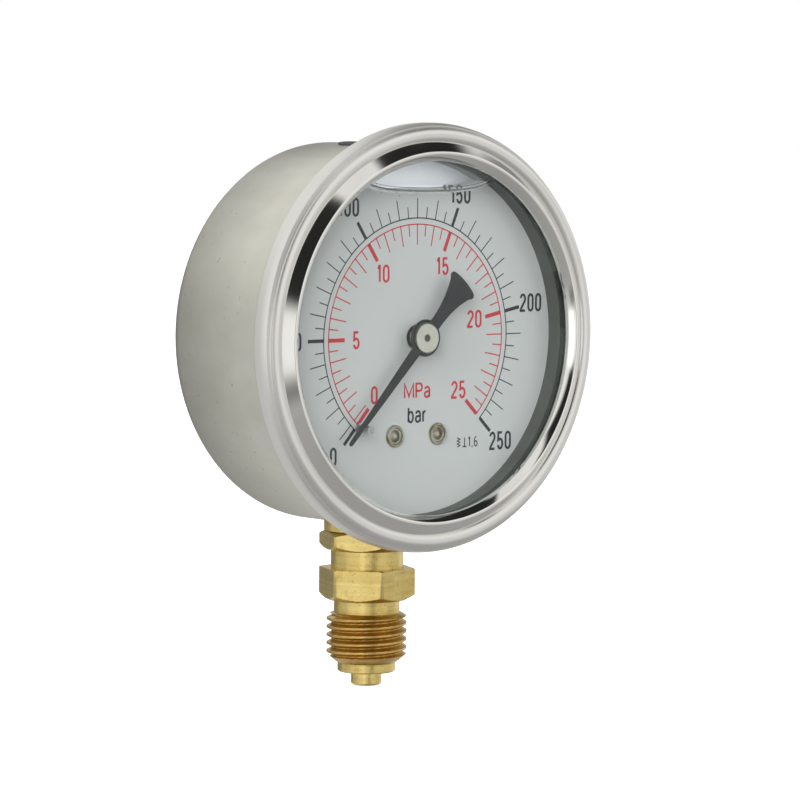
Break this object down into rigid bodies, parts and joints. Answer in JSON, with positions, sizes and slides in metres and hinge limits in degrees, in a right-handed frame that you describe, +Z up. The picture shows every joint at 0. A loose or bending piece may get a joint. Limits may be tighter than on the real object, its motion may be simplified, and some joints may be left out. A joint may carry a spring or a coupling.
{
  "type": "pressure gauge",
  "caption": "Liquid-filled Bourdon tube pressure gauge with a stainless case, crimped polished bezel, two-scale white dial, black pointer and brass bottom connection.",
  "frame": {"origin": "axis of the process connection, at the sealing face of its spigot", "axes": "+Z up along the connection's axis towards the dial axis, the dial faces -Y, +X to the right of the dial"},
  "size_m": [0.069, 0.0309, 0.0921],
  "materials": {
    "stainless_case": "fine-brushed stainless sheet",
    "polished_bezel": "polished stainless, turned ring",
    "window_clear": "clear flat window",
    "rubber_dark": "moulded black rubber",
    "brass_fitting": "turned brass, light machining marks",
    "brass_movement": "stamped and blanked brass",
    "bronze_tube": "drawn phosphor bronze",
    "steel_small": "turned steel",
    "dial_white": "white enamel on aluminium, printed scale",
    "dial_screw_nickel": "nickel-plated brass",
    "pointer_black": "matt black enamel on aluminium",
    "hub_nickel": "turned and nickel-plated"
  },
  "bodies": {
    "root": {"case": "stainless_case", "bezel_ring": "polished_bezel", "window": "window_clear", "window_gasket": "rubber_dark", "fill_plug": "rubber_dark", "stem": "brass_fitting", "tube_socket": "brass_fitting", "lock_nut": "brass_fitting", "saddle_washer": "brass_fitting", "case_seal": "rubber_dark", "restrictor_screw": "steel_small", "bourdon_tube": "bronze_tube", "back_plate": "brass_movement", "front_plate": "brass_movement", "plate_pillars": "brass_movement", "movement_screws": "steel_small", "socket_screws": "steel_small", "plate_bushes": "bronze_tube", "hairspring": "bronze_tube", "hairspring_stud": "brass_movement", "dial": "dial_white", "dial_spacers": "brass_movement", "dial_screws": "dial_screw_nickel", "stop_pin": "steel_small"},
    "pointer": {"pointer": "pointer_black", "pointer_hub": "hub_nickel", "pinion": "brass_movement", "pinion_shaft": "steel_small", "hairspring_collet": "brass_movement"},
    "sector": {"sector_gear": "brass_movement", "sector_arbor": "steel_small", "tail_pin": "steel_small"},
    "tube_tip": {"tube_end_piece": "brass_movement", "tip_pin": "steel_small"},
    "link": {"link": "brass_movement"}
  },
  "joints": [
    {"name": "pointer_turn", "type": "hinge", "parent": "root", "child": "pointer", "pos_m": [0, 0, 0.0554], "axis": [0, 1, 0], "range_deg": [0, 272], "stiffness_Nm_per_rad": 0.00001, "springref_deg": -11.46, "deforming": ["hairspring"]},
    {"name": "sector_turn", "type": "hinge", "parent": "root", "child": "sector", "pos_m": [0, 0, 0.0428], "axis": [0, 1, 0], "range_deg": [-34, 0]},
    {"name": "tube_tip_turn", "type": "hinge", "parent": "root", "child": "tube_tip", "pos_m": [0.01094, 0, 0.05965], "axis": [0, 1, 0], "range_deg": [-5.36, 0], "deforming": ["bourdon_tube"]},
    {"name": "link_turn", "type": "hinge", "parent": "tube_tip", "child": "link", "pos_m": [0.01, 0, 0.03967], "axis": [0, 1, 0], "range_deg": [0, 5.36]}
  ],
  "couplings": [
    {"joint": "sector_turn", "follows": "pointer_turn", "ratio": -0.125},
    {"joint": "tube_tip_turn", "follows": "pointer_turn", "ratio": -0.019715},
    {"joint": "link_turn", "follows": "pointer_turn", "ratio": 0.019715}
  ]
}
